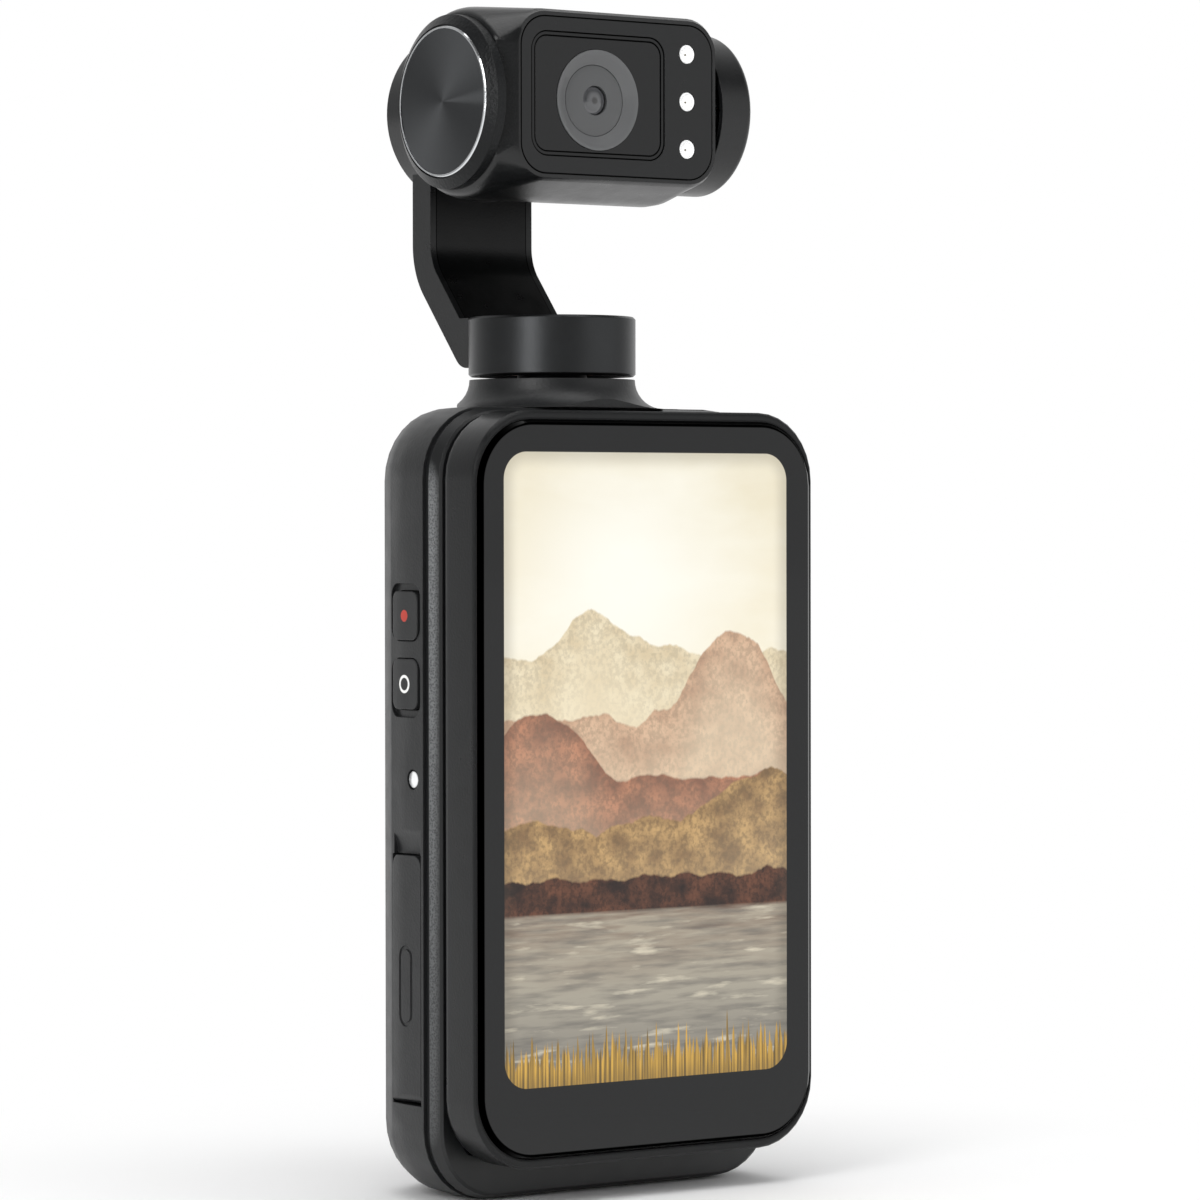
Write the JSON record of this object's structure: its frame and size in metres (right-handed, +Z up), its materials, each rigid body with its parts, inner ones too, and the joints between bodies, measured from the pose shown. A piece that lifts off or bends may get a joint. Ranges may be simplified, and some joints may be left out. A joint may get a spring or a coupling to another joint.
{
  "type": "pocket gimbal camera",
  "caption": "Pocket gimbal camera: hand grip with a turning touch screen, pan drum, bent arm and a stabilised camera head.",
  "frame": {"origin": "centre of the mouth of the tripod socket in the bottom of the grip", "axes": "+Z up along the grip and the pan axis, -Y towards the person who looks at the screen, +X to the right as the screen is seen"},
  "size_m": [0.0528, 0.0418, 0.1481],
  "materials": {
    "grip_plastic": "fine texture",
    "frame_plastic": "fine texture",
    "button_plastic": "satin",
    "red_plastic": "satin",
    "light_pipe": "clear milky",
    "drum_metal": "fine bead blasted",
    "bracket_metal": "satin",
    "brushed_metal": "circular brushed",
    "bright_metal": "polished",
    "shaft_steel": "ground",
    "screw_steel": "black oxide",
    "brass": "machined",
    "cover_glass": "glossy, black printed edge",
    "display": "smooth",
    "bezel_plastic": "gloss",
    "lens_glass": "coated",
    "ring_metal": "anodised",
    "board_green": "solder mask",
    "chip_black": "moulded",
    "sheet_steel": "stamped",
    "battery_wrap": "wrap",
    "copper_coil": "enamelled",
    "magnet_black": "nickel plated",
    "ribbon_amber": "film",
    "seal_rubber": "soft",
    "washer_polymer": "slippery"
  },
  "bodies": {
    "grip": {"rear_housing": "grip_plastic", "front_frame": "frame_plastic", "housing_screws": "screw_steel", "tripod_insert": "brass", "battery": "battery_wrap", "main_board": "board_green", "board_chips": "chip_black", "button_boards": "board_green", "tact_switches": "sheet_steel", "status_light": "light_pipe", "usb_socket": "sheet_steel", "card_socket": "sheet_steel", "speaker": "chip_black", "pan_motor_base": "shaft_steel", "pan_stator": "copper_coil", "pan_bearings": "shaft_steel", "hub_washer": "washer_polymer", "door_pin": "shaft_steel", "screen_flex_cable": "ribbon_amber"},
    "ir_key": {"ir_button": "button_plastic"},
    "lock_key": {"lock_button": "button_plastic"},
    "record_key": {"record_button": "red_plastic"},
    "power_key": {"power_button": "button_plastic"},
    "door": {"port_door": "grip_plastic", "door_gasket": "seal_rubber"},
    "screen": {"screen_frame": "frame_plastic", "cover_glass": "cover_glass", "display_panel": "display", "screen_board": "board_green", "screen_hub": "sheet_steel", "hub_retainer": "shaft_steel", "hub_screws": "screw_steel"},
    "pan_stage": {"pan_drum": "drum_metal", "pan_shaft": "shaft_steel", "pan_magnets": "magnet_black", "gimbal_arm": "bracket_metal", "arm_cover": "button_plastic", "arm_flex_cable": "ribbon_amber", "roll_stator": "copper_coil", "roll_bearings": "shaft_steel"},
    "roll_stage": {"roll_bracket": "bracket_metal", "roll_shaft": "shaft_steel", "roll_magnets": "magnet_black", "tilt_stator": "copper_coil", "tilt_bearing": "shaft_steel"},
    "head": {"head_shell": "frame_plastic", "face_plate": "frame_plastic", "window_bezel": "bezel_plastic", "lens_window": "bezel_plastic", "lens_ring": "ring_metal", "lens_barrel": "chip_black", "front_lens": "lens_glass", "rear_lens": "lens_glass", "ir_leds": "light_pipe", "end_cap": "ring_metal", "disc_trim_ring": "bright_metal", "brushed_disc": "brushed_metal", "sensor_board": "board_green", "tilt_shaft": "shaft_steel", "tilt_magnets": "magnet_black"}
  },
  "joints": [
    {"name": "pan_turn", "type": "hinge", "parent": "grip", "child": "pan_stage", "pos_m": [0, 0, 0.1018], "axis": [0, 0, 1], "range_deg": [-55, 235]},
    {"name": "roll_turn", "type": "hinge", "parent": "pan_stage", "child": "roll_stage", "pos_m": [0, 0.015, 0.1361], "axis": [0, 1, 0], "range_deg": [-45, 45]},
    {"name": "tilt_turn", "type": "hinge", "parent": "roll_stage", "child": "head", "pos_m": [0.0192, 0, 0.1361], "axis": [1, 0, 0], "range_deg": [-45, 90]},
    {"name": "screen_turn", "type": "hinge", "parent": "grip", "child": "screen", "pos_m": [0, -0.0125, 0.051], "axis": [0, 1, 0], "range_deg": [0, 90]},
    {"name": "ir_press", "type": "slide", "parent": "grip", "child": "ir_key", "axis": [1, 0, 0], "range_m": [0, 0.0004], "stiffness_N_per_m": 900},
    {"name": "lock_press", "type": "slide", "parent": "grip", "child": "lock_key", "axis": [1, 0, 0], "range_m": [0, 0.0004], "stiffness_N_per_m": 900},
    {"name": "record_press", "type": "slide", "parent": "grip", "child": "record_key", "axis": [-1, 0, 0], "range_m": [0, 0.00035], "stiffness_N_per_m": 900},
    {"name": "power_press", "type": "slide", "parent": "grip", "child": "power_key", "axis": [-1, 0, 0], "range_m": [0, 0.00035], "stiffness_N_per_m": 900},
    {"name": "door_open", "type": "hinge", "parent": "grip", "child": "door", "pos_m": [-0.0249, -0.00515, 0.0133], "axis": [0, -1, 0], "range_deg": [0, 90]}
  ]
}
